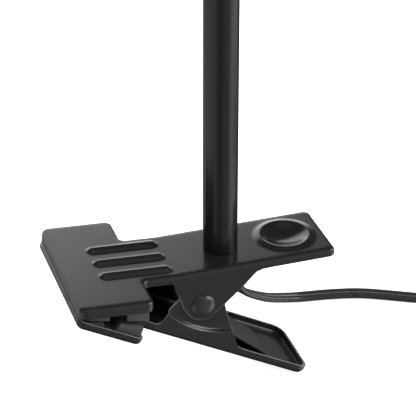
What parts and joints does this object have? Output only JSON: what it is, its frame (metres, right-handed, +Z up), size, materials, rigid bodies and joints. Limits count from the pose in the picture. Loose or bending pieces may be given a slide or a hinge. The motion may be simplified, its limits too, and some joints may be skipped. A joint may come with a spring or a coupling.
{
  "type": "clip on reading lamp",
  "caption": "Black clip-on reading lamp: sprung sheet-metal clamp, straight tube stem, swivelling and tilting shade, flat cord with in-line switch and plug.",
  "frame": {"origin": "middle of the clamp's grip, midway between the two pads and half way across the jaws", "axes": "+X from the grip towards the thumb end of the levers, +Y to the side where the cord comes out, +Z up along the stem"},
  "size_m": [0.3869, 0.1075, 0.3385],
  "materials": {
    "clip_steel": "satin black powder coat",
    "pad_rubber": "matte dark grey rubber",
    "spring_steel": "blackened spring steel",
    "rivet": "satin black",
    "bright_steel": "zinc plated",
    "tube_black": "smooth satin black lacquer",
    "brass": "plain turned brass",
    "wire_brown": "brown insulation",
    "wire_blue": "blue insulation",
    "knuckle_black": "satin black lacquer",
    "washer_fibre": "natural fibre",
    "moulded_black": "fine spark texture",
    "shade_black": "satin black powder coat outside, white inside",
    "bulb_metal": "nickel plated thread",
    "bulb_plastic": "white",
    "bulb_glass": "opal, frosted",
    "cord_black": "smooth semi-matt sheath",
    "tie_black": "woven hook-and-loop tape"
  },
  "bodies": {
    "clip": {"upper_lever": "clip_steel", "upper_pad": "pad_rubber", "leaf_spring": "spring_steel", "pivot_rivet": "rivet", "pivot_sleeve": "bright_steel", "stem_tube": "tube_black", "foot_insert": "brass", "stem_nipple": "bright_steel", "lock_washer": "bright_steel", "stem_nut": "bright_steel", "cord_bush": "moulded_black", "stem_wires": "wire_brown", "swivel_base": "knuckle_black", "swivel_nut": "bright_steel", "cord_lead": "cord_black", "switch_base": "moulded_black", "switch_cover": "moulded_black", "switch_screws": "bright_steel", "switch_terminals": "brass", "cord_link": "cord_black", "cord_coil": "cord_black", "coil_tie": "tie_black", "cord_tail": "cord_black", "plug_body": "moulded_black", "plug_pins": "bulb_metal"},
    "lower_jaw": {"lower_lever": "clip_steel", "lower_pad": "pad_rubber"},
    "knuckle": {"knuckle_fork": "knuckle_black", "tilt_screw": "bright_steel"},
    "head": {"knuckle_tongue": "knuckle_black", "friction_washers": "washer_fibre", "shade": "shade_black", "shade_nut": "bright_steel", "lampholder": "moulded_black", "holder_contacts": "brass", "bulb_cap": "bulb_metal", "bulb_housing": "bulb_plastic", "bulb_globe": "bulb_glass", "head_wires": "wire_blue"},
    "knob": {"tilt_knob": "moulded_black"},
    "rocker": {"switch_rocker": "moulded_black"}
  },
  "joints": [
    {"name": "clamp_open", "type": "hinge", "parent": "clip", "child": "lower_jaw", "pos_m": [0.0342, 0, -0.0085], "axis": [0, -1, 0], "range_deg": [0, 25], "stiffness_Nm_per_rad": 0.9, "springref_deg": -34.38, "deforming": ["leaf_spring"]},
    {"name": "head_swivel", "type": "hinge", "parent": "clip", "child": "knuckle", "pos_m": [0.045, 0, 0.262], "axis": [0, 0, 1], "range_deg": [-170, 170]},
    {"name": "head_tilt", "type": "hinge", "parent": "knuckle", "child": "head", "pos_m": [0.045, 0, 0.2832], "axis": [0, 1, 0], "range_deg": [-10, 70]},
    {"name": "knob_turn", "type": "hinge", "parent": "knuckle", "child": "knob", "pos_m": [0.045, 0.015, 0.2832], "axis": [0, 1, 0], "range_deg": [0, 180]},
    {"name": "rocker_press", "type": "hinge", "parent": "clip", "child": "rocker", "pos_m": [0.197, 0.008, -0.031], "axis": [0, -1, 0], "range_deg": [0, 16]}
  ]
}
